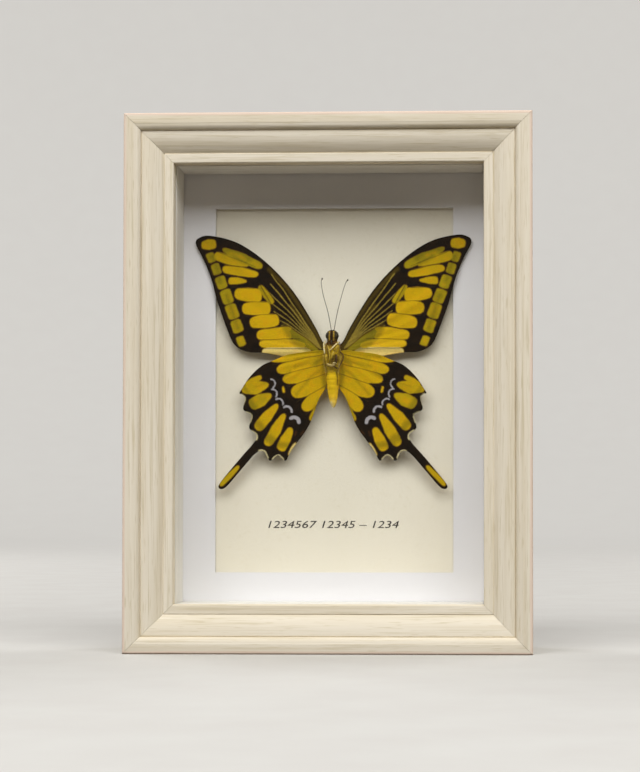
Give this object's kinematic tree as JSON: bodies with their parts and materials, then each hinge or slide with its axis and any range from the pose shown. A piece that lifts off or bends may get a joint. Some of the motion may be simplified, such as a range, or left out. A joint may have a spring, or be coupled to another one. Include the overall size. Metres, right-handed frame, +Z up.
{
  "type": "framed butterfly specimen",
  "caption": "Upright box frame in limed wood with a yellow and black swallowtail butterfly mounted underside out behind glass, over a cream card in a white window mat.",
  "frame": {"origin": "middle of the bottom edge, half way through the depth", "axes": "+Z up the frame, the glass faces -Y, +X to the right as seen from the front"},
  "size_m": [0.158, 0.04, 0.209],
  "materials": {
    "limed_wood": "limed, pale streaks along the grain, satin",
    "limed_wood_strip": "limed, satin",
    "float_glass": "clear",
    "white_mat": "matt white board",
    "cream_card": "matt cream card",
    "grey_board": "rough grey board",
    "hardboard": "smooth brown hardboard",
    "zinc_steel": "zinc plated, satin",
    "brass_nail": "brass plated",
    "cork": "cork",
    "body_scales": "downy yellow scales",
    "wing_scales": "matt wing scales, yellow and black",
    "dark_horn": "dark horn"
  },
  "bodies": {
    "root": {"rail_top": "limed_wood", "rail_bottom": "limed_wood", "rail_left": "limed_wood", "rail_right": "limed_wood", "glass_pane": "float_glass", "spacer_top": "limed_wood_strip", "spacer_bottom": "limed_wood_strip", "spacer_left": "limed_wood_strip", "spacer_right": "limed_wood_strip", "window_mat": "white_mat", "caption_card": "cream_card", "backing_board": "grey_board", "back_panel": "hardboard", "tab_1": "zinc_steel", "tab_2": "zinc_steel", "tab_3": "zinc_steel", "tab_4": "zinc_steel", "tab_5": "zinc_steel", "tab_6": "zinc_steel", "hanger": "zinc_steel", "hanger_nail_left": "brass_nail", "hanger_nail_right": "brass_nail", "mounting_block": "cork", "body": "body_scales", "wing_fore_left": "wing_scales", "wing_fore_right": "wing_scales", "wing_hind_left": "wing_scales", "wing_hind_right": "wing_scales", "antenna_left": "dark_horn", "antenna_right": "dark_horn", "leg_fore_left": "dark_horn", "leg_fore_right": "dark_horn", "leg_middle_left": "dark_horn", "leg_middle_right": "dark_horn", "leg_rear_left": "dark_horn", "leg_rear_right": "dark_horn"}
  },
  "joints": []
}
